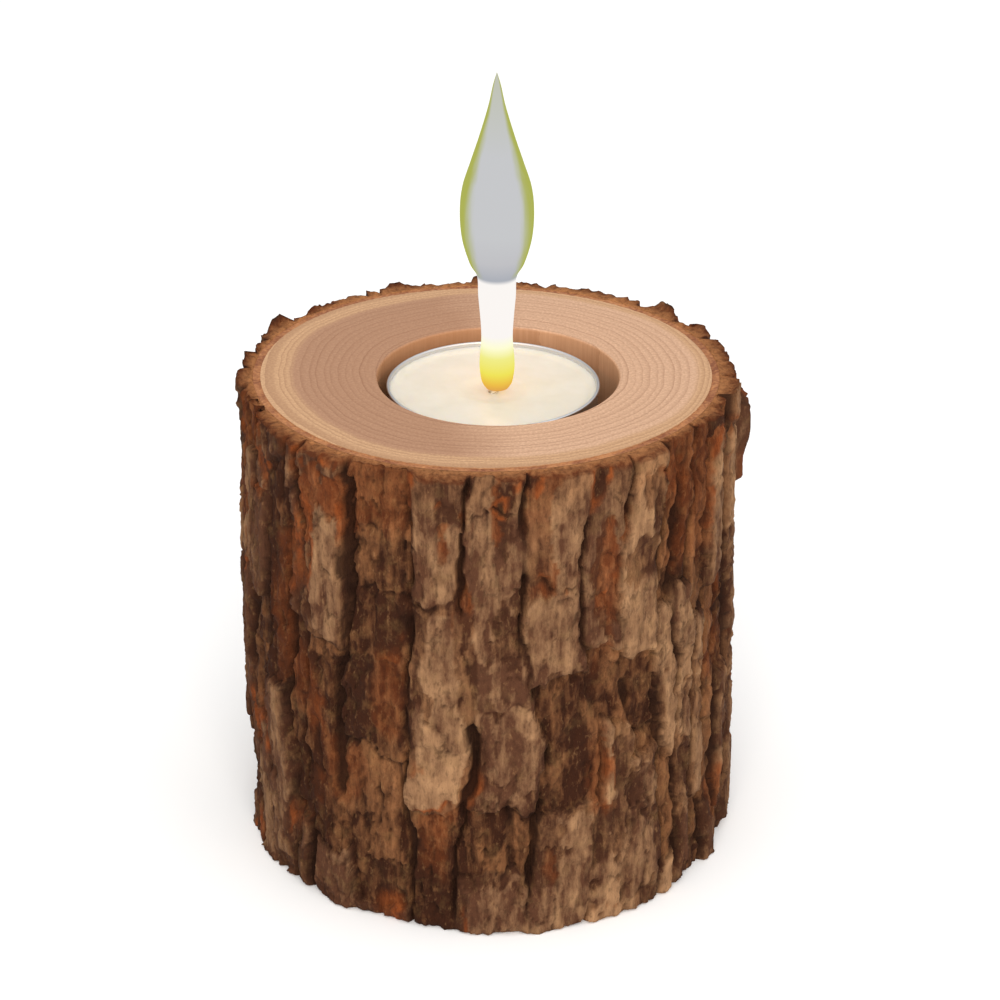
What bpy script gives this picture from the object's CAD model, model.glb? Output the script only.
import math

import bmesh
import bpy
import numpy as np
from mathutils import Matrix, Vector, noise


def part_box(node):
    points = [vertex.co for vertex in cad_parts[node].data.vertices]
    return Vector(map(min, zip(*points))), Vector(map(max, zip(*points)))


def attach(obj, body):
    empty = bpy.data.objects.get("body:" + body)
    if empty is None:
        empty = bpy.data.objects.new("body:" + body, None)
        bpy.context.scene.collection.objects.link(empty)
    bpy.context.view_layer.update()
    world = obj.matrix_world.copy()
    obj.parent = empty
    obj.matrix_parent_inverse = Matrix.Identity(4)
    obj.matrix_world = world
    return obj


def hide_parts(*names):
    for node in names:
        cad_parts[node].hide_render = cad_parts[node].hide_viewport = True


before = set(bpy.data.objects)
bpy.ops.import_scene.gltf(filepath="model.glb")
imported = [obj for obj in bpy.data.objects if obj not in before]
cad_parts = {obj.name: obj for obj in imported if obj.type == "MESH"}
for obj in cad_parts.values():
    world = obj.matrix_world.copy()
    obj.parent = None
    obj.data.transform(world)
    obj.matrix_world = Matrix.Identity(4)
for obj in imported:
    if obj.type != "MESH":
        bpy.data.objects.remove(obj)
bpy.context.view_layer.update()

mm = 0.001
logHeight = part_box("log_core")[1].z
cupLow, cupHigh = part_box("tealight_cup")
cupRadius = (cupHigh.x - cupLow.x) / 2
candleAxis = (cupLow + cupHigh) / 2  # the tealight stands a little off the bore's middle
waxLow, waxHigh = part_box("wax_fill")
print("frame: log %.1f mm tall, tealight %.1f mm across" % (logHeight / mm, 2 * cupRadius / mm))


# the tree's section: one outline for the wood, the bast and the bark
section = {
    "woodRadius": 39.7 * mm,
    "oval": 0.40 * mm,
    "lobes": 0.25 * mm,
    "pith": Vector((1.4 * mm, 0.8 * mm, 0)),
}


def outOfRound(angle):
    return section["oval"] * math.cos(2 * angle + 0.6) + section["lobes"] * math.cos(3 * angle - 1.0)


def smoothStep(low, high, value):
    share = min(1.0, max(0.0, (value - low) / (high - low)))
    return share * share * (3 - 2 * share)


def toLinear(hexColour):
    channels = [int(hexColour[i:i + 2], 16) / 255 for i in (1, 3, 5)]
    return [c / 12.92 if c <= 0.04045 else ((c + 0.055) / 1.055) ** 2.4 for c in channels] + [1.0]


def addNode(tree, kind, inputs=None, **settings):
    node = tree.nodes.new("ShaderNode" + kind)
    for name, value in settings.items():
        setattr(node, name, value)
    for name, value in (inputs or {}).items():
        if isinstance(value, bpy.types.NodeSocket):
            tree.links.new(value, node.inputs[name])
        else:
            node.inputs[name].default_value = value
    return node


# a colour Mix node's sockets have no names of their own
factor, first, second, mixed = 0, 6, 7, 2


def newMaterial(name, **shaderSettings):
    made = bpy.data.materials.new(name)
    made.use_nodes = True
    tree = made.node_tree
    shader = tree.nodes["Principled BSDF"]
    for socket, value in shaderSettings.items():
        shader.inputs[socket.replace("_", " ").title().replace("Ior", "IOR")].default_value = value
    return made, tree, shader


# an outline in the XZ plane, turned all the way round Z in coarse steps that are then split and rounded
# again; an outline that starts off the axis is closed first
def spinOutline(corners, cuts, steps, split):
    bm = bmesh.new()
    verts = [bm.verts.new((radius, 0, height)) for radius, height in corners]
    pairs = list(zip(verts, verts[1:]))
    if corners[0][0] > 0:
        pairs.append((verts[-1], verts[0]))
    edges = [bm.edges.new(pair) for pair in pairs]
    for edge, count in zip(edges, cuts):
        if count:
            bmesh.ops.subdivide_edges(bm, edges=[edge], cuts=count)
    bmesh.ops.spin(
        bm, geom=bm.verts[:] + bm.edges[:], axis=(0, 0, 1), cent=(0, 0, 0),
        angle=2 * math.pi, steps=steps, use_merge=True,
    )
    bmesh.ops.remove_doubles(bm, verts=bm.verts, dist=0.002 * mm)
    hoops = [e for e in bm.edges if isHoop(e)]
    bmesh.ops.subdivide_edges(bm, edges=hoops, cuts=split - 1, use_grid_fill=True)
    step = 2 * math.pi / steps
    for vert in bm.verts:
        offset = math.atan2(vert.co.y, vert.co.x) % step - step / 2
        bulge = math.cos(offset) / math.cos(step / 2)
        vert.co.x *= bulge
        vert.co.y *= bulge
    bmesh.ops.recalc_face_normals(bm, faces=bm.faces)
    return bm


def isHoop(edge):
    one, two = [v.co for v in edge.verts]
    level = abs(one.z - two.z) < 0.0001 * mm
    return level and abs(math.hypot(one.x, one.y) - math.hypot(two.x, two.y)) < 0.0001 * mm


def finishPiece(name, bm, material, body, node, sharpAngle=35):
    mesh = bpy.data.meshes.new(name)
    bm.to_mesh(mesh)
    bm.free()
    mesh.shade_smooth()
    mesh.set_sharp_from_angle(angle=math.radians(sharpAngle))
    mesh.materials.append(material)
    piece = bpy.data.objects.new(name, mesh)
    bpy.context.scene.collection.objects.link(piece)
    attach(piece, body)
    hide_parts(node)
    print("%s: %d faces" % (name, len(mesh.polygons)))
    return piece


# outer bark: upright plates with ragged furrows between them, and low crumbling strips where plates
# have gone
bark = {
    "columns": 35,
    "split": 16,
    "rows": 158,
    "rimRings": 8,
    "innerRadius": 41.2 * mm,
    "plateRadius": 44.3 * mm,
    "girth": 278.0,  # mm, the same length unit as every value below
    "plates": 36,
    "plateLength": (12.0, 40.0),
    "chips": 68,  # columns of small chips, which give the plates their facets
    "chipLength": (4.5, 17.0),
    "chipStand": 0.48,
    "chipCrack": 0.34,
    "plateShare": 0.66,  # of the blocks, the rest are crumbling strips
    "plateStand": (0.25, 0.95),  # over the mean surface
    "stripSink": (0.35, 0.95),
    "furrowDepth": 1.9,
    "furrowWidth": (0.45, 1.5),
    "crackDepth": 0.55,
    "sheetThickness": 0.42,  # the thin sheets that flake off a plate
    "tornEdge": 1.9,
    "swell": 0.7,
    "endChip": 0.36,
    "endBite": 1.7,
    "endLump": 1.0,  # where the bark stands over the sawn wood
    "endCrumble": 0.32,
    "endFall": 6,  # the power with which the sawn ends break away towards the bark's face
    # torn bits that stand up at the rim: angle and half width in degrees, height in mm
    "splinters": ((84, 1.3, 2.3), (150, 4.5, 1.5), (41, 4.0, 1.2), (113, 3.0, 0.9), (-160, 4.0, 1.1)),
    # how much darker the bark is round the log: angle in degrees, change of tone
    "weathering": (
        (-180, -0.44), (-143, -0.43), (-116, -0.19), (-90, 0.03),
        (-61, -0.03), (-37, -0.11), (90, -0.20), (180, -0.44),
    ),
    "flakeAngle": math.radians(8),  # the thick flake that stands proud on the right
    "flakeHalfAngle": math.radians(7),
    "flakeHeights": (67.5, 84.5),
    "flakeProud": 3.0,
    "deepest": -2.6,
    "proudest": 1.5,
}
# the patches that vary the bark: width round the log and height in mm, and the seed of each
barkPatches = {
    "bend": (17, 34, 1),
    "bendFine": (7, 12, 2),
    "jag": (2.3, 3.2, 3),
    "jagFine": (1.1, 1.3, 4),
    "slip": (12, 16, 5),
    "slipFine": (3.5, 4.0, 6),
    "chipShift": (4, 5, 23),
    "endGap": (9, 9, 10),
    "ragged": (3.2, 6.5, 11),
    "raggedFine": (1.5, 2.6, 12),
    "raggedGrit": (0.8, 1.1, 13),
    "torn": (6, 13, 14),
    "bare": (5.5, 12, 15),
    "crumbs": (1.9, 3.0, 16),
    "crumbsFine": (1.0, 1.4, 17),
    "slitGap": (6, 10, 24),
    "fibres": (0.9, 6.0, 19),
    "grit": (0.75, 0.8, 20),
    "swell": (30, 42, 21),
    "rim": (2.6, 4.5, 26),
    "burnt": (8, 14, 22),
    "tone": (22, 30, 25),
}


def blend(low, high, value):
    share = np.clip((value - low) / (high - low), 0, 1)
    return share * share * (3 - 2 * share)


# smooth noise from -1 to 1 on the unrolled bark, in patches of width by height, that joins up all the
# way round
def barkNoise(around, up, width, height, seed):
    columns = max(4, round(bark["girth"] / width))
    rows = int(logHeight / mm / height) + 6
    lattice = np.random.default_rng(seed).uniform(-1, 1, (rows, columns))
    x, y = around / bark["girth"] * columns, np.clip(up / height + 2, 0, rows - 1.001)
    column, row = np.floor(x).astype(int), np.floor(y).astype(int)
    across, along = blend(0, 1, x - column), blend(0, 1, y - row)
    left, right = column % columns, (column + 1) % columns
    below = lattice[row, left] * (1 - across) + lattice[row, right] * across
    above = lattice[row + 1, left] * (1 - across) + lattice[row + 1, right] * across
    return below * (1 - along) + above * along


# noise along each furrow, the same on both its sides
def furrowNoise(furrow, up, height, seed):
    rows = int(logHeight / mm / height) + 6
    lattice = np.random.default_rng(seed).uniform(-1, 1, (bark["plates"] + 1, rows))
    y = np.clip(up / height + 2, 0, rows - 1.001)
    row = np.floor(y).astype(int)
    along = blend(0, 1, y - row)
    furrow = furrow % bark["plates"]
    return lattice[furrow, row] * (1 - along) + lattice[furrow, row + 1] * along


# upright columns of blocks: how far a point is from its column's side and from its block's end in mm, which
# furrow that side is, and three random numbers from 0 to 1 for the block
def barkBlocks(around, up, columns, blockLength, seed):
    rng = np.random.default_rng(seed)
    widths = rng.uniform(0.5, 1.45, columns)
    borders = np.concatenate([[0], np.cumsum(widths)]) * bark["girth"] / widths.sum()
    around = around % bark["girth"]
    column = np.clip(np.searchsorted(borders, around, "right") - 1, 0, columns - 1)
    left, right = around - borders[column], borders[column + 1] - around
    shortest, longest = blockLength
    blocks = int(logHeight / mm / shortest) + 8
    lengths = rng.uniform(shortest, longest, (columns, blocks))
    ends = np.cumsum(lengths, axis=1) - rng.uniform(1, 2, (columns, 1)) * longest
    block = (up[:, None] > ends[column]).sum(axis=1)
    gaps = np.abs(up[:, None] - ends[column]).min(axis=1)
    draw = rng.random((columns, blocks + 1, 3))
    furrow = np.where(left < right, column, column + 1)
    return np.minimum(left, right), gaps, furrow, draw[column, block]


def flakeLift(angle, up):
    low, high = bark["flakeHeights"]
    ragged = 0.10 * barkNoise(angle * bark["plateRadius"] / mm, up, 3.0, 4.0, 90)
    across = 1 - abs(angle - bark["flakeAngle"]) / bark["flakeHalfAngle"]
    along = 1 - abs(up - (low + high) / 2) / ((high - low) / 2)
    return blend(0.02, 0.20, across + ragged) * blend(0.0, 0.14, along + ragged)


# the relief in mm over the plate radius, and what the colour needs: depth, fresh breaks, tone, and how
# much of the weathered plate is kept
def barkRelief(angle, up):
    around = angle * bark["plateRadius"] / mm
    patch = {name: barkNoise(around, up, *size) for name, size in barkPatches.items()}
    bend = 3.0 * patch["bend"] + 1.1 * patch["bendFine"]
    jag = 0.55 * patch["jag"] + 0.25 * patch["jagFine"]
    slip = 3.2 * patch["slip"] + 1.2 * patch["slipFine"] + 1.6 * jag
    side, end, furrow, draw = barkBlocks(
        around + bend + jag, up + slip, bark["plates"], bark["plateLength"], 60,
    )
    isPlate = draw[:, 2] < bark["plateShare"]
    shift = 0.8 * bend + 1.4 * jag + 1.2 * patch["chipShift"]
    chips = barkBlocks(around + shift, up + 0.7 * slip + shift, bark["chips"], bark["chipLength"], 42)
    chipEdge, chip = np.minimum(chips[0], chips[1]), chips[3]

    opened = furrowNoise(furrow, up, 15, 7) + 0.5 * furrowNoise(furrow, up, 5, 8) + 0.45
    opened = 0.22 + 0.78 * blend(0.0, 0.7, opened)
    narrow, wide = bark["furrowWidth"]
    width = narrow + (wide - narrow) * np.clip(0.5 + 0.6 * furrowNoise(furrow, up, 9, 9), 0, 1)
    furrowCut = (1 - blend(0.2 * width, width, side)) * opened
    endCut = (1 - blend(0.05, 0.5, end)) * blend(-0.3, 0.3, patch["endGap"])

    stand = bark["plateStand"][0] + (bark["plateStand"][1] - bark["plateStand"][0]) * draw[:, 0]
    sink = bark["stripSink"][0] + (bark["stripSink"][1] - bark["stripSink"][0]) * draw[:, 0]
    level = np.where(isPlate, stand, -sink)
    edge = np.minimum(side, end)

    # sheets flake off the plates, first along their edges
    ragged = 0.5 * patch["ragged"] + 0.3 * patch["raggedFine"]
    ragged += 0.16 * patch["raggedGrit"]
    torn = bark["tornEdge"] * (0.25 + 1.3 * patch["torn"]) + 1.5 * ragged
    tornAway = 1 - blend(-0.12, 0.12, edge - torn)
    bare = patch["bare"] + ragged
    bareAway = blend(0.32, 0.42, bare) + blend(0.75, 0.85, bare)
    sheets = np.where(isPlate, np.maximum(tornAway, 0) + bareAway, 0.4 * bareAway)

    crumbs = patch["crumbs"] + 0.6 * patch["crumbsFine"]
    slits = np.clip(1 - np.abs(barkNoise(around + jag, up, 2.1, 11, 18)) / 0.20, 0, 1) ** 2
    slits *= blend(-0.25, 0.35, patch["slitGap"] + np.where(isPlate, 0.0, 0.5))
    rough = np.where(isPlate, 0.15, 0.42) + 0.15 * furrowCut

    relief = bark["swell"] * patch["swell"] + level
    relief -= bark["furrowDepth"] * furrowCut + bark["crackDepth"] * endCut * (1 - furrowCut)
    relief -= bark["sheetThickness"] * sheets
    relief += bark["chipStand"] * (chip[:, 0] - 0.5) * np.where(isPlate, 0.8, 1.5)
    chipJoint = (1 - blend(0.0, 0.5, chipEdge)) * blend(0.25, 0.55, chip[:, 1])
    relief -= bark["chipCrack"] * chipJoint
    relief += rough * crumbs + 0.12 * patch["fibres"] + 0.14 * patch["grit"]
    relief -= np.where(isPlate, 0.30, 0.65) * slits
    lift = flakeLift(angle, up)  # the flake stands off more at its top
    proud = bark["flakeProud"] * (0.62 + 0.38 * blend(72, 77, up))
    relief = np.clip(relief, bark["deepest"], bark["proudest"]) * (1 - 0.4 * lift) + proud * lift
    relief = np.minimum(relief, bark["flakeProud"] + 0.2)

    depth = furrowCut + 0.7 * endCut + 0.5 * chipJoint + np.where(isPlate, 0.25, 0.6) * slits
    depth = np.clip(depth - 0.25 * crumbs * ~isPlate, 0, 1)

    # rust-coloured breaks: torn edges, just bared patches and the strips, more of them near the top
    rim = (1 - blend(0.0, 0.8, np.abs(edge - torn))) * isPlate * (1 - furrowCut)
    rim *= blend(-0.35, 0.25, patch["rim"])
    burnt = blend(0.05, 0.55, patch["burnt"] + 0.25 * ragged + 0.8 * blend(74, 90, up))
    fresh = 1.5 * rim + 0.5 * np.clip(sheets, 0, 1) * blend(0.3, 0.6, chip[:, 1]) + 0.3 * ~isPlate
    fresh = np.clip(fresh, 0, 1) * burnt
    fresh = np.clip(fresh + 0.6 * lift * blend(76, 71, up), 0, 1)

    # each block and chip has its own tone, darker round the back and towards both sawn ends
    tone = 0.5 + 0.42 * (draw[:, 1] - 0.5) + 0.42 * (chip[:, 2] - 0.5)
    tone += 0.18 * patch["fibres"] + 0.14 * crumbs + 0.18 * patch["tone"]
    tone -= 0.16 * np.clip(sheets, 0, 1) + 0.4 * lift
    tone += np.interp(np.degrees(angle), *zip(*bark["weathering"]))
    tone -= 0.10 * blend(76, 86, up) + 0.06 * blend(14, 3, up)
    kept = np.where(isPlate, 1 - 0.55 * np.clip(sheets, 0, 1), 0.12)
    kept *= (1 - furrowCut) * (1 - 0.5 * blend(80, 90, up))
    return relief, depth, fresh, np.clip(tone, 0, 1), kept


def makeBark(material):
    inner, outer = bark["innerRadius"], bark["plateRadius"]
    corners = [(inner, 0), (outer, 0), (outer, logHeight), (inner, logHeight)]
    cuts = [3, bark["rows"] - 1, bark["rimRings"] - 1, 0]
    bm = spinOutline(corners, cuts, bark["columns"], bark["split"])
    angles = np.array([math.atan2(v.co.y, v.co.x) for v in bm.verts])
    heights = np.array([v.co.z for v in bm.verts])
    relief, *masks = barkRelief(angles, heights / mm)
    around = angles * bark["plateRadius"] / mm
    level = 0 * around
    bites = []
    for seed in (61, 63):  # the underside, then the top
        chipped = 0.7 * barkNoise(around, level, 1.2, 9, seed)
        chipped += 0.6 * barkNoise(around, level, 0.6, 9, seed + 10)
        bitten = blend(0.35, 0.75, barkNoise(around, level, 5, 9, seed + 1))
        bites.append(mm * (bark["endChip"] * (1 + chipped) + bark["endBite"] * bitten))
    lumps = bark["endLump"] * blend(0.25, 0.75, barkNoise(around, level, 7, 9, 67))
    for turn, halfWidth, tall in bark["splinters"]:
        away = np.abs(angles - math.radians(turn)) / math.radians(halfWidth)
        lumps = np.maximum(lumps, tall * blend(1.0, 0.35, away))
    bites[1] = bites[1] - lumps * mm
    across = np.hypot([v.co.x for v in bm.verts], [v.co.y for v in bm.verts]) / mm
    crumble = barkNoise(around, across, 1.3, 1.2, 65) + 0.6 * barkNoise(around, across, 0.7, 0.7, 66)
    names = ("barkDepth", "barkFresh", "barkTone", "barkKept")
    layers = [bm.verts.layers.float.new(name) for name in names]
    sawnLayer = bm.verts.layers.float.new("barkSawn")
    for index, vert in enumerate(bm.verts):
        angle = angles[index]
        outward = max(0.0, (math.hypot(vert.co.x, vert.co.y) - inner) / (outer - inner))
        reach = inner + (outer + relief[index] * mm - inner) * outward + outOfRound(angle)
        reach = max(reach, inner + outOfRound(angle) + 0.25 * mm * outward)
        share = vert.co.z / logHeight
        low, high = bites[0][index], bites[1][index]
        sawn = min(share, 1 - share) < 1e-4
        if sawn and outward < 0.999:  # the sawn ends break away more and more outwards
            rough = bark["endCrumble"] * mm * (crumble[index] * smoothStep(0, 0.3, outward) - 0.35)
            fall = outward ** bark["endFall"]
            height = low * fall if share < 0.5 else logHeight - high * fall + rough
        else:
            height = low + (logHeight - high - low) * share
        vert.co = Vector((reach * math.cos(angle), reach * math.sin(angle), height))
        for layer, mask in zip(layers, masks):
            vert[layer] = mask[index]
        if sawn:  # furrows only run a little way in over the sawn end
            vert[layers[0]] = 0.8 * masks[0][index] * outward ** 2
        intact = 1 - smoothStep(0.4, 1.6, abs(high) / mm * outward ** bark["endFall"])
        vert[sawnLayer] = (1 - 0.65 * outward) * intact if sawn and share > 0.5 else 0.0
    return finishPiece("outer_bark_furrowed", bm, material, "log", "outer_bark", 180)


# furrowed bark: weathered grey-brown plates, dark red-brown crumbling strips between them, rust-coloured
# where a sheet has just come off, near black in the furrows; dry and matt all over
def barkMaterial():
    made, tree, shader = newMaterial("furrowedBark", roughness=0.9)
    shader.inputs["Specular IOR Level"].default_value = 0.08
    place = addNode(tree, "TexCoord").outputs["Object"]
    depth, fresh, tone, kept, sawn = [
        addNode(tree, "Attribute", attribute_name=name).outputs["Fac"]
        for name in ("barkDepth", "barkFresh", "barkTone", "barkKept", "barkSawn")
    ]
    upright = addNode(tree, "Mapping", {"Vector": place, "Scale": (1, 1, 0.22)}).outputs[0]
    fibres = addNode(tree, "TexNoise", {
        "Vector": upright, "Scale": 1 / (1.0 * mm), "Detail": 4.0, "Roughness": 0.6,
    })
    mottle = addNode(tree, "TexNoise", {
        "Vector": place, "Scale": 1 / (3.5 * mm), "Detail": 6.0, "Roughness": 0.65,
    })
    dashed = addNode(tree, "Mapping", {"Vector": place, "Scale": (1, 1, 0.45)}).outputs[0]
    specks = addNode(tree, "TexNoise", {
        "Vector": dashed, "Scale": 1 / (0.8 * mm), "Detail": 3.0, "Roughness": 0.7,
    })
    shade = addNode(tree, "Math", {0: mottle.outputs["Fac"], 1: 0.6, 2: tone}, operation="MULTIPLY_ADD")
    shade = addNode(tree, "Math", {0: shade.outputs[0], 1: fibres.outputs["Fac"]}, operation="ADD")
    shade = addNode(tree, "MapRange", {
        "Value": shade.outputs[0], "From Min": 0.90, "From Max": 1.75,
    }).outputs[0]
    plates = addNode(tree, "Mix", {
        factor: shade, first: toLinear("#503222"), second: toLinear("#A27B58"),
    }, data_type="RGBA").outputs[mixed]
    strips = addNode(tree, "Mix", {
        factor: shade, first: toLinear("#2E160B"), second: toLinear("#835433"),
    }, data_type="RGBA").outputs[mixed]
    ground = addNode(tree, "Mix", {
        factor: kept, first: strips, second: plates,
    }, data_type="RGBA").outputs[mixed]
    dustShare = addNode(tree, "MapRange", {
        "Value": specks.outputs["Fac"], "From Min": 0.58, "From Max": 0.74, "To Max": 0.26,
    }).outputs[0]
    ground = addNode(tree, "Mix", {
        factor: dustShare, first: ground, second: toLinear("#A47A52"),
    }, data_type="RGBA").outputs[mixed]
    mossShare = addNode(tree, "MapRange", {
        "Value": mottle.outputs["Fac"], "From Min": 0.52, "From Max": 0.70, "To Max": 0.30,
    }).outputs[0]
    ground = addNode(tree, "Mix", {
        factor: mossShare, first: ground, second: toLinear("#685030"),
    }, data_type="RGBA").outputs[mixed]
    broken = addNode(tree, "Mix", {
        factor: fibres.outputs["Fac"], first: toLinear("#48190B"), second: toLinear("#A65828"),
    }, data_type="RGBA").outputs[mixed]
    freshShare = addNode(tree, "Math", {0: fresh, 1: 0.8}, operation="MULTIPLY").outputs[0]
    surface = addNode(tree, "Mix", {
        factor: freshShare, first: ground, second: broken,
    }, data_type="RGBA").outputs[mixed]
    cutShade = addNode(tree, "Math", {0: sawn, 1: fibres.outputs["Fac"]}, operation="ADD")
    cutShade = addNode(tree, "MapRange", {"Value": cutShade.outputs[0], "From Min": 0.85, "From Max": 1.6})
    cutColour = addNode(tree, "Mix", {
        factor: cutShade.outputs[0], first: toLinear("#562B16"), second: toLinear("#A87248"),
    }, data_type="RGBA").outputs[mixed]
    sawnShare = addNode(tree, "MapRange", {
        "Value": sawn, "From Min": 0.15, "From Max": 0.5, "To Max": 0.9,
    }).outputs[0]
    surface = addNode(tree, "Mix", {
        factor: sawnShare, first: surface, second: cutColour,
    }, data_type="RGBA").outputs[mixed]
    pitShare = addNode(tree, "MapRange", {
        "Value": specks.outputs["Fac"], "From Min": 0.48, "From Max": 0.34, "To Max": 0.36,
    }).outputs[0]
    surface = addNode(tree, "Mix", {
        factor: pitShare, first: surface, second: toLinear("#2A180F"),
    }, data_type="RGBA").outputs[mixed]
    shadowed = addNode(tree, "MapRange", {
        "Value": depth, "From Min": 0.15, "From Max": 0.8, "To Max": 0.85,
    }).outputs[0]
    surface = addNode(tree, "Mix", {
        factor: shadowed, first: surface, second: toLinear("#26150D"),
    }, data_type="RGBA").outputs[mixed]
    tree.links.new(surface, shader.inputs["Base Color"])
    fine = addNode(tree, "Math", {0: fibres.outputs["Fac"], 1: specks.outputs["Fac"]}, operation="ADD")
    bump = addNode(tree, "Bump", {"Height": fine.outputs[0], "Strength": 1.0, "Distance": 0.35 * mm})
    tree.links.new(bump.outputs[0], shader.inputs["Normal"])
    return made


makeBark(barkMaterial())


# the bore, read from the frame: its floor is the only part of the wood between the two sawn ends
boreFloor = [v.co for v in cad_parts["log_core"].data.vertices if mm < v.co.z < logHeight - mm]
boreLow = Vector([min(co[i] for co in boreFloor) for i in range(3)])
boreHigh = Vector([max(co[i] for co in boreFloor) for i in range(3)])

core = {
    "columns": 30,
    "split": 10,
    "faceRings": 60,
    "wallRings": 12,
    "boreRadius": (boreHigh.x - boreLow.x) / 2,
    "boreCentre": Vector(((boreLow.x + boreHigh.x) / 2, (boreLow.y + boreHigh.y) / 2, 0)),
    "floor": boreHigh.z,
    "mouthRound": 0.5 * mm,
    "spurRadius": 1.8 * mm,
    "spurDepth": 1.2 * mm,
    "sawWave": 0.035 * mm,  # ripples that the saw leaves across the end grain
    "sawSpacing": 1.7 * mm,
    "fuzz": 0.05 * mm,
    "ringSpacing": 1.35 * mm,
    "sapwood": (37.6 * mm, 38.8 * mm),  # where the heartwood gives way to it, from the pith
}


def quarterRound(centre, radius, start, end, steps):
    angles = [math.radians(start + (end - start) * i / steps) for i in range(steps + 1)]
    return [(centre[0] + radius * math.cos(a), centre[1] + radius * math.sin(a)) for a in angles]


def makeCore(material):
    wood, bore, edge = section["woodRadius"] + 0.15 * mm, core["boreRadius"], core["mouthRound"]
    mouth = quarterRound((bore + edge, logHeight - edge), edge, 90, 180, 4)
    corners = [(0, 0), (wood, 0), (wood, logHeight), *mouth]
    corners += [(bore, core["floor"]), (core["spurRadius"], core["floor"])]
    corners += [(0, core["floor"] - core["spurDepth"])]
    cuts = [20, core["wallRings"], core["faceRings"], 0, 0, 0, 0, core["wallRings"], 16, 3]
    bm = spinOutline(corners, cuts, core["columns"], core["split"])
    rim = bore + edge
    for vert in bm.verts:
        radius = math.hypot(vert.co.x, vert.co.y)
        angle = math.atan2(vert.co.y, vert.co.x)
        outward = Vector((math.cos(angle), math.sin(angle), 0))
        onTop = vert.co.z > core["floor"] - core["spurDepth"] - 0.1 * mm and radius < wood - 0.01 * mm
        share = min(1.0, max(0.0, (radius - rim) / (wood - rim))) if onTop else radius / wood
        moved = outward * (radius + outOfRound(angle) * share)
        if onTop:
            moved += core["boreCentre"] * (1 - share)
        lift = 0.0
        if vert.co.z > logHeight - 0.01 * mm:
            across = moved.x * 0.94 + moved.y * 0.34 + 1.2 * mm * noise.noise(moved / (20 * mm))
            lift = core["sawWave"] * math.sin(2 * math.pi * across / core["sawSpacing"])
            lift += core["fuzz"] * noise.noise(moved / (0.8 * mm)) - core["sawWave"] - core["fuzz"]
        vert.co = moved + Vector((0, 0, vert.co.z + lift))
    return finishPiece("log_core_sawn", bm, material, "log", "log_core")


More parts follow.
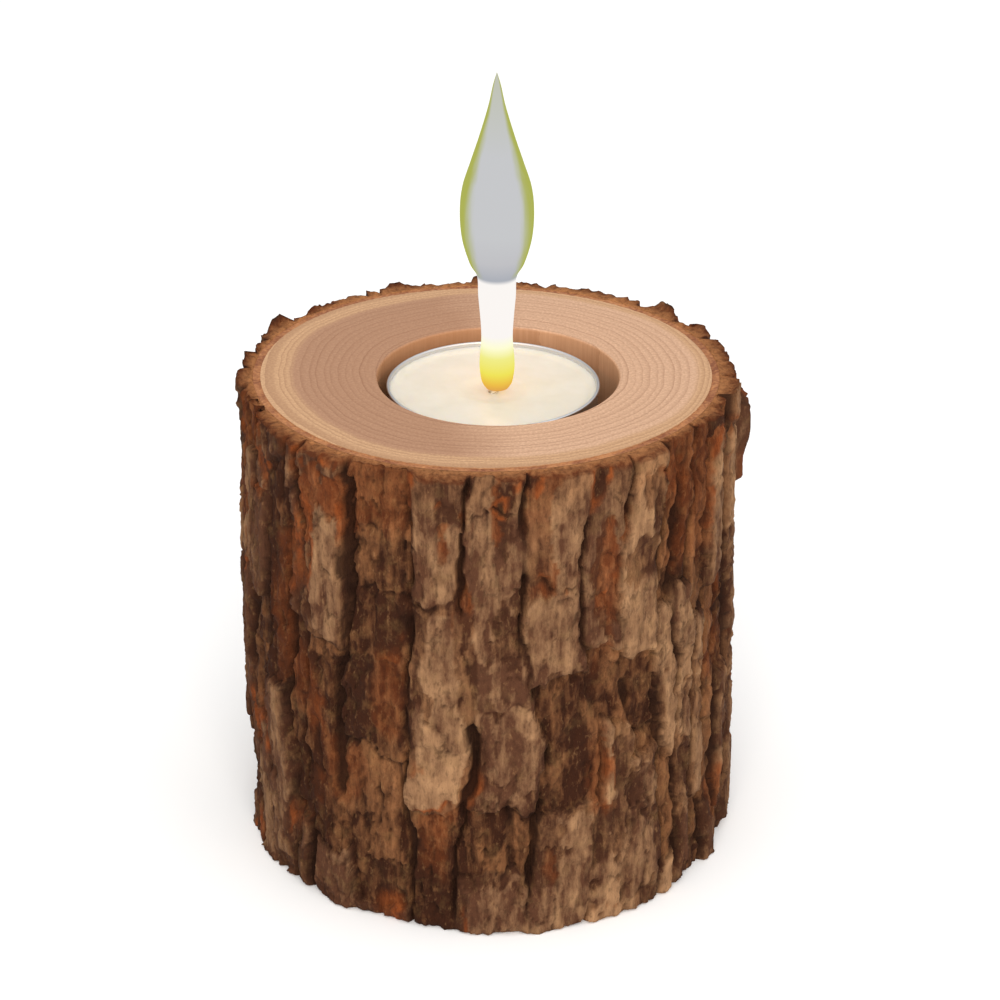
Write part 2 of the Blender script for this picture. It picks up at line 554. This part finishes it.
# sawn softwood end grain, unfinished: fine growth rings, a pale sapwood band, dry and matt
def woodMaterial():
    made, tree, shader = newMaterial("sawnEndGrain", roughness=0.72)
    shader.inputs["Specular IOR Level"].default_value = 0.3
    place = addNode(tree, "TexCoord").outputs["Object"]
    centred = addNode(tree, "Mapping", {"Vector": place, "Location": -section["pith"]}).outputs[0]
    flat = addNode(tree, "Mapping", {"Vector": centred, "Scale": (1, 1, 0)}).outputs[0]
    slow = addNode(tree, "TexNoise", {"Vector": centred, "Scale": 1 / (22 * mm), "Detail": 2.0})
    quick = addNode(tree, "TexNoise", {"Vector": centred, "Scale": 1 / (3.5 * mm), "Detail": 2.0})
    radius = addNode(tree, "VectorMath", {0: flat}, operation="LENGTH").outputs["Value"]
    wobble = addNode(tree, "Math", {
        0: slow.outputs["Fac"], 1: 3.2 * mm, 2: radius,
    }, operation="MULTIPLY_ADD")
    wobble = addNode(tree, "Math", {
        0: quick.outputs["Fac"], 1: 0.35 * mm, 2: wobble.outputs[0],
    }, operation="MULTIPLY_ADD")
    years = addNode(tree, "Math", {0: wobble.outputs[0], 1: 1 / core["ringSpacing"]}, operation="MULTIPLY")
    uneven = addNode(tree, "TexNoise", {
        "W": years.outputs[0], "Scale": 0.45, "Detail": 1.0,
    }, noise_dimensions="1D")
    years = addNode(tree, "Math", {
        0: uneven.outputs["Fac"], 1: 1.6, 2: years.outputs[0],
    }, operation="MULTIPLY_ADD")
    season = addNode(tree, "Math", {0: years.outputs[0]}, operation="FRACT")
    # dark latewood closes each year
    late = addNode(tree, "Math", {0: season.outputs[0], 1: 3.0}, operation="POWER")
    count = addNode(tree, "Math", {0: years.outputs[0]}, operation="FLOOR")
    vivid = addNode(tree, "TexWhiteNoise", {"W": count.outputs[0]}, noise_dimensions="1D")
    vivid = addNode(tree, "MapRange", {"Value": vivid.outputs["Value"], "To Min": 0.35, "To Max": 1.0})
    late = addNode(tree, "Math", {0: late.outputs[0], 1: vivid.outputs[0]}, operation="MULTIPLY")

    fibreMap = addNode(tree, "Mapping", {"Vector": place, "Scale": (1, 1, 0.05)}).outputs[0]
    pores = addNode(tree, "TexNoise", {"Vector": fibreMap, "Scale": 1 / (0.45 * mm), "Detail": 3.0})
    patch = addNode(tree, "TexNoise", {"Vector": place, "Scale": 1 / (14 * mm), "Detail": 3.0})
    side = addNode(tree, "SeparateXYZ", {0: place})
    warmth = addNode(tree, "Math", {
        0: patch.outputs["Fac"], 1: 14 * mm, 2: side.outputs["X"],
    }, operation="MULTIPLY_ADD")
    warmth = addNode(tree, "MapRange", {"Value": warmth.outputs[0], "From Min": 0.0, "From Max": 14 * mm})
    heart = addNode(tree, "Mix", {
        factor: warmth.outputs[0], first: toLinear("#AC8468"), second: toLinear("#CFA88A"),
    }, data_type="RGBA")
    sapStart, sapFull = core["sapwood"]
    sapShare = addNode(tree, "MapRange", {
        "Value": wobble.outputs[0], "From Min": sapStart, "From Max": sapFull,
    })
    ground = addNode(tree, "Mix", {
        factor: sapShare.outputs[0], first: heart.outputs[mixed], second: toLinear("#C8A07A"),
    }, data_type="RGBA")
    lateShare = addNode(tree, "Math", {0: late.outputs[0], 1: 0.6}, operation="MULTIPLY")
    rings = addNode(tree, "Mix", {
        factor: lateShare.outputs[0], first: ground.outputs[mixed], second: toLinear("#7E543A"),
    }, data_type="RGBA")
    poreShare = addNode(tree, "MapRange", {
        "Value": pores.outputs["Fac"], "From Min": 0.40, "From Max": 0.68, "To Min": 0.30, "To Max": 0.0,
    })
    grained = addNode(tree, "Mix", {
        factor: poreShare.outputs[0], first: rings.outputs[mixed], second: toLinear("#7C5238"),
    }, data_type="RGBA")
    # the bore's wall was cut along the grain: it is browner than the sawn face
    facing = addNode(tree, "SeparateXYZ", {0: addNode(tree, "NewGeometry").outputs["Normal"]})
    upward = addNode(tree, "MapRange", {
        "Value": facing.outputs["Z"], "From Min": 0.3, "From Max": 0.9, "To Min": 0.5, "To Max": 0.0,
    })
    surface = addNode(tree, "Mix", {
        factor: upward.outputs[0], first: grained.outputs[mixed], second: toLinear("#B07A4C"),
    }, data_type="RGBA")
    tree.links.new(surface.outputs[mixed], shader.inputs["Base Color"])
    height = addNode(tree, "Math", {0: late.outputs[0], 1: pores.outputs["Fac"]}, operation="ADD")
    bump = addNode(tree, "Bump", {"Height": height.outputs[0], "Strength": 0.35, "Distance": 0.12 * mm})
    tree.links.new(bump.outputs[0], shader.inputs["Normal"])
    return made


makeCore(woodMaterial())


# the bast, the thin inner bark, fills the space between wood and bark
bast = {"columns": 36, "split": 10, "rows": 60, "rings": 5, "low": 0.15 * mm, "fuzz": 0.22}


def makeBast(material):
    inner, outer = section["woodRadius"] - 0.2 * mm, bark["innerRadius"] + 0.3 * mm
    top = logHeight - bast["low"]
    corners = [(inner, 0), (outer, 0), (outer, top), (inner, top)]
    bm = spinOutline(corners, [2, bast["rows"], bast["rings"], 0], bast["columns"], bast["split"])
    for vert in bm.verts:
        angle = math.atan2(vert.co.y, vert.co.x)
        outward = Vector((math.cos(angle), math.sin(angle), 0))
        lift = 0.0
        if vert.co.z > top - 0.01 * mm:
            lift = bast["fuzz"] * mm * noise.noise(vert.co / (0.9 * mm)) - 0.1 * mm
        vert.co = vert.co + outward * outOfRound(angle) + Vector((0, 0, lift))
    return finishPiece("inner_bark_bast", bm, material, "log", "inner_bark")


# dry bast: red-brown, fibrous, dull
def bastMaterial():
    made, tree, shader = newMaterial("dryBast", roughness=0.85)
    place = addNode(tree, "TexCoord").outputs["Object"]
    fibreMap = addNode(tree, "Mapping", {"Vector": place, "Scale": (1, 1, 0.1)}).outputs[0]
    fibres = addNode(tree, "TexNoise", {"Vector": fibreMap, "Scale": 1 / (0.7 * mm), "Detail": 4.0})
    patches = addNode(tree, "TexNoise", {"Vector": place, "Scale": 1 / (6 * mm), "Detail": 2.0})
    share = addNode(tree, "Math", {0: fibres.outputs["Fac"], 1: patches.outputs["Fac"]}, operation="ADD")
    share = addNode(tree, "MapRange", {"Value": share.outputs[0], "From Min": 0.75, "From Max": 1.25})
    colour = addNode(tree, "Mix", {
        factor: share.outputs[0], first: toLinear("#7A4426"), second: toLinear("#B47A4C"),
    }, data_type="RGBA")
    tree.links.new(colour.outputs[mixed], shader.inputs["Base Color"])
    bump = addNode(tree, "Bump", {"Height": fibres.outputs["Fac"], "Strength": 0.6, "Distance": 0.2 * mm})
    tree.links.new(bump.outputs[0], shader.inputs["Normal"])
    return made


makeBast(bastMaterial())


cup = {
    "columns": 36,
    "split": 8,
    "height": cupHigh.z - cupLow.z,
    "baseRadius": cupRadius - 0.6 * mm,
    "wall": 0.22 * mm,
    "footRound": 0.8 * mm,
    "bead": 0.30 * mm,
    "flutes": 72,  # shallow creases that deep drawing leaves in the wall
    "fluteDepth": 0.07 * mm,
    "baseRing": (13.0 * mm, 0.35 * mm),  # a pressed step that stiffens the base
}


def makeCup(material):
    foot, wall, bead, tall = cup["footRound"], cup["wall"], cup["bead"], cup["height"]
    base, rim = cup["baseRadius"], cupRadius
    stepRadius, stepHeight = cup["baseRing"]
    inside = [(0, wall + stepHeight), (stepRadius - stepHeight, wall + stepHeight), (stepRadius, wall)]
    inside += quarterRound((base - foot, foot), foot - wall, -90, 0, 5)
    roll = quarterRound((rim - bead, tall - bead), bead, 180, -120, 14)
    outside = quarterRound((base - foot, foot), foot, 0, -90, 5)
    outside += [(stepRadius, 0), (stepRadius - stepHeight, stepHeight), (0, stepHeight)]
    corners = inside + roll + outside
    cuts = [0] * (len(corners) - 1)
    cuts[len(inside) - 1] = cuts[len(inside) + len(roll) - 1] = 14
    bm = spinOutline(corners, cuts, cup["columns"], cup["split"])
    for vert in bm.verts:
        angle = math.atan2(vert.co.y, vert.co.x)
        upWall = smoothStep(foot, 2.5 * foot, vert.co.z)
        upWall *= 1 - smoothStep(tall - 5 * bead, tall - 3 * bead, vert.co.z)
        crease = cup["fluteDepth"] * math.cos(cup["flutes"] * angle) * upWall
        dent = 0.06 * mm * noise.noise(vert.co / (6 * mm))
        vert.co += Vector((math.cos(angle), math.sin(angle), 0)) * (crease + dent * upWall)
    bmesh.ops.translate(bm, verts=bm.verts, vec=(candleAxis.x, candleAxis.y, cupLow.z))
    return finishPiece(
        "tealight_cup_pressed", bm, material, "tealight", "tealight_cup",
    )


# thin pressed aluminium: bright, with faint drawing marks up the wall
def aluminiumMaterial():
    made, tree, shader = newMaterial("pressedAluminium", metallic=1.0)
    shader.inputs["Base Color"].default_value = toLinear("#D5D6D8")
    place = addNode(tree, "TexCoord").outputs["Object"]
    drawn = addNode(tree, "Mapping", {"Vector": place, "Scale": (1, 1, 0.06)}).outputs[0]
    marks = addNode(tree, "TexNoise", {"Vector": drawn, "Scale": 1 / (0.6 * mm), "Detail": 3.0})
    dull = addNode(tree, "MapRange", {"Value": marks.outputs["Fac"], "To Min": 0.22, "To Max": 0.42})
    tree.links.new(dull.outputs[0], shader.inputs["Roughness"])
    bump = addNode(tree, "Bump", {"Height": marks.outputs["Fac"], "Strength": 0.15, "Distance": 0.03 * mm})
    tree.links.new(bump.outputs[0], shader.inputs["Normal"])
    return made


makeCup(aluminiumMaterial())


wax = {
    "columns": 30,
    "split": 6,
    "foot": waxLow.z - cupLow.z,
    "top": waxHigh.z - cupLow.z,
    "radius": cupRadius - 0.55 * mm,
    "meniscus": 0.6 * mm,  # it clings to the cup's wall as it sets
    "poolRadius": 6.5 * mm,  # softened round the wick
    "poolDepth": 0.35 * mm,
    "wickHole": 0.95 * mm,
    "tabHole": 6.8 * mm,
    "tabDeep": 0.7 * mm,
    "neckHole": (1.75 * mm, 5.3 * mm),
}


def makeWax(material):
    foot, radius, hole = wax["foot"], wax["radius"], wax["wickHole"]
    neckRadius, neckTall = wax["neckHole"]
    flat = wax["top"] - wax["meniscus"]
    corners = [(hole, flat), (radius, flat), (cup["baseRadius"] - wax["tabDeep"], foot + 0.3 * mm)]
    corners += [(cup["baseRadius"] - 2 * wax["tabDeep"], foot), (wax["tabHole"], foot)]
    corners += [(wax["tabHole"], foot + wax["tabDeep"]), (neckRadius, foot + wax["tabDeep"])]
    corners += [(neckRadius, foot + neckTall), (hole, foot + neckTall + 0.3 * mm)]
    bm = spinOutline(corners, [44, 10, 0, 4, 0, 3, 2, 0, 2], wax["columns"], wax["split"])
    for vert in bm.verts:
        if vert.co.z < flat - 0.01 * mm:
            continue
        reach = math.hypot(vert.co.x, vert.co.y)
        climb = wax["meniscus"] * smoothStep(radius - 2.4 * mm, radius, reach) ** 2
        pool = wax["poolDepth"] * (1 - smoothStep(0.5 * wax["poolRadius"], wax["poolRadius"], reach))
        uneven = 0.10 * mm * noise.noise(vert.co / (7 * mm)) + 0.02 * mm * noise.noise(vert.co / (1.5 * mm))
        vert.co.z += climb - pool + uneven * (1 - smoothStep(radius - 2 * mm, radius, reach))
    bmesh.ops.translate(bm, verts=bm.verts, vec=(candleAxis.x, candleAxis.y, cupLow.z))
    return finishPiece("wax_fill_cast", bm, material, "candle", "wax_fill")


# cast paraffin wax: cream white, light passes some way into it, a soft sheen
def waxMaterial():
    made, tree, shader = newMaterial("paraffinWax", roughness=0.38, ior=1.43)
    shader.inputs["Subsurface Weight"].default_value = 0.6
    shader.inputs["Subsurface Radius"].default_value = (1.0, 0.75, 0.45)
    shader.inputs["Subsurface Scale"].default_value = 2.5 * mm
    place = addNode(tree, "TexCoord").outputs["Object"]
    cloud = addNode(tree, "TexNoise", {"Vector": place, "Scale": 1 / (5 * mm), "Detail": 3.0})
    colour = addNode(tree, "Mix", {
        factor: cloud.outputs["Fac"], first: toLinear("#CBC3B2"), second: toLinear("#D8D3C9"),
    }, data_type="RGBA")
    tree.links.new(colour.outputs[mixed], shader.inputs["Base Color"])
    bump = addNode(tree, "Bump", {"Height": cloud.outputs["Fac"], "Strength": 0.2, "Distance": 0.1 * mm})
    tree.links.new(bump.outputs[0], shader.inputs["Normal"])
    return made


makeWax(waxMaterial())


tabLow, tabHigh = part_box("wick_tab")
wickLow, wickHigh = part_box("wick")
wickTab = {
    "columns": 16,
    "split": 4,
    "radius": (tabHigh.x - tabLow.x) / 2,
    "disc": 0.35 * mm,
    "neckRadius": 1.45 * mm,
    "neckWall": 0.25 * mm,
    "crimp": 0.25 * mm,
}
wickCord = {
    "strands": 3,
    "strandRadius": 0.42 * mm,
    "twistRadius": 0.40 * mm,
    "pitch": 3.2 * mm,
    "steps": 90,
    "lean": 0.8 * mm,
    "charred": (0.5 * mm, 2.5 * mm),  # over the wax: where it starts and where it is black
    "foot": wickLow.z,
    "tall": wickHigh.z - wickLow.z - 0.1 * mm,
}


def makeTab(material):
    outer, disc = wickTab["radius"], wickTab["disc"]
    neck, thick = wickTab["neckRadius"], wickTab["neckWall"]
    tall = tabHigh.z - tabLow.z
    corners = [(0, disc), (neck - thick, disc), (neck - thick, tall), (neck, tall), (neck, disc + thick)]
    corners += [(neck + thick, disc)]
    corners += quarterRound((outer - disc / 2, disc / 2), disc / 2, 90, -90, 6) + [(0, 0)]
    cuts = [0, 10, 0, 10] + [0] * 12
    bm = spinOutline(corners, cuts[:len(corners) - 1], wickTab["columns"], wickTab["split"])
    for vert in bm.verts:  # the neck is crimped on four sides
        if vert.co.z > 2 * disc:
            angle = math.atan2(vert.co.y, vert.co.x)
            bite = smoothStep(2 * disc, tall / 2, vert.co.z) * max(0.0, math.cos(4 * angle)) ** 2
            vert.co -= Vector((math.cos(angle), math.sin(angle), 0)) * wickTab["crimp"] * bite
    bmesh.ops.translate(bm, verts=bm.verts, vec=(candleAxis.x, candleAxis.y, tabLow.z))
    return finishPiece("wick_tab_stamped", bm, material, "candle", "wick_tab")


# stamped tinplate: greyer and duller than the cup
def tinMaterial():
    made, tree, shader = newMaterial("tinplate", metallic=1.0)
    shader.inputs["Base Color"].default_value = toLinear("#A8A8A4")
    place = addNode(tree, "TexCoord").outputs["Object"]
    spangle = addNode(tree, "TexVoronoi", {"Vector": place, "Scale": 1 / (1.2 * mm)})
    dull = addNode(tree, "MapRange", {"Value": spangle.outputs["Distance"], "To Min": 0.30, "To Max": 0.48})
    tree.links.new(dull.outputs[0], shader.inputs["Roughness"])
    return made


def makeWick(material):
    bm = bmesh.new()
    for strand in range(wickCord["strands"]):
        start = 2 * math.pi * strand / wickCord["strands"]
        ring = bmesh.ops.create_circle(
            bm, cap_ends=True, segments=10, radius=wickCord["strandRadius"],
        )["verts"]
        top = [f for f in bm.faces if all(v in ring for v in f.verts)]
        bmesh.ops.reverse_faces(bm, faces=top)
        here = wickCord["twistRadius"] * Vector((math.cos(start), math.sin(start), 0))
        bmesh.ops.translate(bm, verts=ring, vec=here)
        for step in range(1, wickCord["steps"] + 1):
            share = step / wickCord["steps"]
            turn = start + 2 * math.pi * share * wickCord["tall"] / wickCord["pitch"]
            lean = wickCord["lean"] * smoothStep(0.55, 1.25, share)
            there = Vector((
                wickCord["twistRadius"] * math.cos(turn) + lean,
                wickCord["twistRadius"] * math.sin(turn),
                wickCord["tall"] * share,
            ))
            grown = bmesh.ops.extrude_face_region(bm, geom=top, use_keep_orig=step == 1)["geom"]
            top = [e for e in grown if isinstance(e, bmesh.types.BMFace)]
            moved = [e for e in grown if isinstance(e, bmesh.types.BMVert)]
            bmesh.ops.translate(bm, verts=moved, vec=there - here)
            here = there
    bmesh.ops.recalc_face_normals(bm, faces=bm.faces)
    bmesh.ops.translate(bm, verts=bm.verts, vec=(candleAxis.x, candleAxis.y, wickCord["foot"]))
    return finishPiece("wick_braided", bm, material, "candle", "wick")


# waxed cotton: off white in the wax, charred black where it burns
def wickMaterial():
    made, tree, shader = newMaterial("charredCotton", roughness=0.92)
    place = addNode(tree, "TexCoord").outputs["Object"]
    up = addNode(tree, "SeparateXYZ", {0: place})
    threads = addNode(tree, "TexNoise", {"Vector": place, "Scale": 1 / (0.35 * mm), "Detail": 2.0})
    ragged = addNode(tree, "Math", {
        0: threads.outputs["Fac"], 1: 1.5 * mm, 2: up.outputs["Z"],
    }, operation="MULTIPLY_ADD")
    clean, black = wickCord["charred"]
    charred = addNode(tree, "MapRange", {
        "Value": ragged.outputs[0], "From Min": waxHigh.z + clean, "From Max": waxHigh.z + black,
    })
    colour = addNode(tree, "Mix", {
        factor: charred.outputs[0], first: toLinear("#D8CBB0"), second: toLinear("#17110D"),
    }, data_type="RGBA")
    tree.links.new(colour.outputs[mixed], shader.inputs["Base Color"])
    bump = addNode(tree, "Bump", {"Height": threads.outputs["Fac"], "Strength": 0.7, "Distance": 0.1 * mm})
    tree.links.new(bump.outputs[0], shader.inputs["Normal"])
    return made


makeTab(tinMaterial())
makeWick(wickMaterial())


flameLow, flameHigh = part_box("flame")
flameBody = {
    "columns": 16,
    "split": 4,
    "steps": 6,
    # heights over the wax and radii in mm, from the foot to the tip
    "stations": (
        (0.5, 2.0), (1.8, 2.75), (4.5, 3.1), (7.0, 3.0), (9.3, 2.8), (11.5, 2.8), (14.5, 3.0),
        (18.0, 3.3), (21.8, 3.5), (24.4, 4.85), (28.8, 6.1),
        (33.4, 6.45), (38.0, 6.05), (42.7, 4.6), (47.3, 3.1), (52.8, 1.5), (56.5, 0.7), (58.9, 0.0),
    ),
    "strength": 1.6,
    "flank": "#8C9046",
    "flankStart": (0.36, 0.39),  # none below the grey part
    "flankEdge": (0.70, 1.04),  # from the grey middle, 0, to the sides, 1, with the streaks added
    "flankStreaks": 0.22,
    # how the gas looks from its foot, 0, to its tip, 1
    "looks": (
        (0.0, "#B5813F"), (0.025, "#C19A39"), (0.06, "#C3B947"), (0.11, "#C4C16E"), (0.145, "#CFCEAC"),
        (0.18, "#CCC8C5"), (0.352, "#CCC8C5"), (0.366, "#8B8E95"), (0.43, "#9C9C9F"), (0.52, "#A1A2A4"),
        (0.75, "#A1A2A4"), (1.0, "#9B9D8F"),
    ),
    "cavityRadius": 1.75 * mm,
    "cavityTop": 7.4 * mm,
}


# a smooth curve through the stations, steps points to a span
def smoothThrough(stations, steps):
    padded = [stations[0], *stations, stations[-1]]
    points = []
    for before, start, end, after in zip(padded, padded[1:], padded[2:], padded[3:]):
        for i in range(steps):
            t = i / steps
            points.append([
                0.5 * (
                    2 * b + (c - a) * t + (2 * a - 5 * b + 4 * c - d) * t ** 2
                    + (3 * b - a - 3 * c + d) * t ** 3
                )
                for a, b, c, d in zip(before, start, end, after)
            ])
    return points + [list(stations[-1])]


def makeFlame(material):
    profile = smoothThrough(flameBody["stations"], flameBody["steps"])
    outer = [(radius * mm, tall * mm) for tall, radius in profile]
    foot = outer[0][1]
    cavity, roof = flameBody["cavityRadius"], flameBody["cavityTop"]
    corners = [(0, outer[-1][1]), *reversed(outer[:-1])]
    corners += [(cavity, foot), (cavity, roof), (0, roof + 0.5 * mm)]
    bm = spinOutline(corners, [0] * (len(corners) - 1), flameBody["columns"], flameBody["split"])
    middle = (flameLow + flameHigh) / 2
    bmesh.ops.translate(bm, verts=bm.verts, vec=(middle.x, middle.y, flameLow.z - foot))
    piece = finishPiece("flame_lit", bm, material, "candle", "flame", 180)
    piece.visible_shadow = False
    return piece


# glowing gas: it only gives light, yellow at its foot, white over the wick and pale grey above, with
# olive flanks on the left and the right
def flameMaterial():
    made, tree, shader = newMaterial("flameGlow", roughness=1.0)
    shader.inputs["Base Color"].default_value = (0, 0, 0, 1)
    shader.inputs["Specular IOR Level"].default_value = 0.0
    shader.inputs["Emission Strength"].default_value = flameBody["strength"]
    place = addNode(tree, "TexCoord").outputs["Object"]
    up = addNode(tree, "SeparateXYZ", {0: place})
    share = addNode(tree, "MapRange", {
        "Value": up.outputs["Z"], "From Min": flameLow.z, "From Max": flameHigh.z,
    })
    ramp = addNode(tree, "ValToRGB", {"Fac": share.outputs[0]})
    elements = ramp.color_ramp.elements
    for index, (position, hexColour) in enumerate(flameBody["looks"]):
        element = elements[index] if index < 2 else elements.new(position)
        element.position = position
        element.color = toLinear(hexColour)
    middle = (flameLow + flameHigh) / 2
    centred = addNode(tree, "Mapping", {"Vector": place, "Location": (-middle.x, -middle.y, 0)}).outputs[0]
    flat = addNode(tree, "Mapping", {"Vector": centred, "Scale": (1, 1, 0)}).outputs[0]
    around = addNode(tree, "VectorMath", {0: flat}, operation="NORMALIZE").outputs["Vector"]
    sideways = addNode(tree, "Math", {
        0: addNode(tree, "SeparateXYZ", {0: around}).outputs["X"],
    }, operation="ABSOLUTE").outputs[0]
    streaked = addNode(tree, "Mapping", {"Vector": place, "Scale": (1, 1, 0.12)}).outputs[0]
    streaks = addNode(tree, "TexNoise", {"Vector": streaked, "Scale": 1 / (1.6 * mm), "Detail": 2.0})
    sideways = addNode(tree, "Math", {
        0: streaks.outputs["Fac"], 1: flameBody["flankStreaks"], 2: sideways,
    }, operation="MULTIPLY_ADD").outputs[0]
    pale, olive = flameBody["flankEdge"]
    flank = addNode(tree, "MapRange", {
        "Value": sideways, "From Min": pale, "From Max": olive,
    }, interpolation_type="SMOOTHSTEP").outputs[0]
    low, high = flameBody["flankStart"]
    upper = addNode(tree, "MapRange", {"Value": share.outputs[0], "From Min": low, "From Max": high})
    flank = addNode(tree, "Math", {0: flank, 1: upper.outputs[0]}, operation="MULTIPLY").outputs[0]
    glow = addNode(tree, "Mix", {
        factor: flank, first: ramp.outputs[0], second: toLinear(flameBody["flank"]),
    }, data_type="RGBA").outputs[mixed]
    tree.links.new(glow, shader.inputs["Emission Color"])
    return made


flame = makeFlame(flameMaterial())


studio = {
    "aim": Vector((2.62, 0, 64.53)) * mm,
    "distance": 560 * mm,
    "elevation": math.radians(26.09),
    "lens": 110.96,
    "floorHalf": 3.0,
    "glowWatts": 0.0016,
    "glowColour": "#FFB070",
    "keyPlace": Vector((0.02, -0.95, 0.72)),
    "keySize": 0.6,
    "keyWatts": 7.5,
    "keyColour": "#FFF8F0",
    "world": "#FFFFFF",
    "worldStrength": (0.0, 1.35),
    "brightSide": Vector((0.14, -0.6, 0.8)).normalized(),
}


def addCamera():
    data = bpy.data.cameras.new("camera")
    data.lens = studio["lens"]
    data.sensor_width = 36
    camera = bpy.data.objects.new("camera", data)
    back = Vector((0, -math.cos(studio["elevation"]), math.sin(studio["elevation"])))
    camera.location = studio["aim"] + back * studio["distance"]
    camera.rotation_euler = (-back).to_track_quat("-Z", "Y").to_euler()
    bpy.context.scene.collection.objects.link(camera)
    bpy.context.scene.camera = camera


def addSoftbox():
    data = bpy.data.lights.new("key", "AREA")
    data.size = studio["keySize"]
    data.energy = studio["keyWatts"]
    data.color = toLinear(studio["keyColour"])[:3]
    light = bpy.data.objects.new("key", data)
    light.location = studio["keyPlace"]
    light.rotation_euler = (studio["aim"] - light.location).to_track_quat("-Z", "Y").to_euler()
    bpy.context.scene.collection.objects.link(light)


# the warm light that the flame throws on the bore and on the wood behind it
def addCandleGlow(flamePiece):
    data = bpy.data.lights.new("candleGlow", "POINT")
    data.shadow_soft_size = 1.5 * mm
    data.energy = studio["glowWatts"]
    data.color = toLinear(studio["glowColour"])[:3]
    glow = bpy.data.objects.new("candleGlow", data)
    glow.location = (candleAxis.x, candleAxis.y + 7 * mm, logHeight + 9 * mm)
    glow.visible_camera = False
    bpy.context.scene.collection.objects.link(glow)
    glow.parent = flamePiece


def addFloor():
    bm = bmesh.new()
    bmesh.ops.create_grid(bm, x_segments=1, y_segments=1, size=studio["floorHalf"])
    mesh = bpy.data.meshes.new("floor")
    bm.to_mesh(mesh)
    bm.free()
    made, _, shader = newMaterial("paleFloor", roughness=0.9)
    shader.inputs["Base Color"].default_value = toLinear("#FAFAFA")
    mesh.materials.append(made)
    floor = bpy.data.objects.new("floor", mesh)
    bpy.context.scene.collection.objects.link(floor)


# a light tent: white overhead, brighter towards the right and the front, darker on the left
def lightWorld():
    world = bpy.data.worlds.new("studio")
    world.use_nodes = True
    tree = world.node_tree
    place = addNode(tree, "TexCoord").outputs["Generated"]
    toward = addNode(tree, "VectorMath", {0: place, 1: studio["brightSide"]}, operation="DOT_PRODUCT")
    low, high = studio["worldStrength"]
    strength = addNode(tree, "MapRange", {
        "Value": toward.outputs["Value"], "From Min": -1.0, "To Min": low, "To Max": high,
    })
    background = tree.nodes["Background"]
    background.inputs["Color"].default_value = toLinear(studio["world"])
    tree.links.new(strength.outputs[0], background.inputs["Strength"])
    bpy.context.scene.world = world
    bpy.context.scene.view_settings.view_transform = "Standard"


addCamera()
addFloor()
lightWorld()
addSoftbox()
addCandleGlow(flame)
print("studio: camera, floor, light tent, softbox and candle glow")
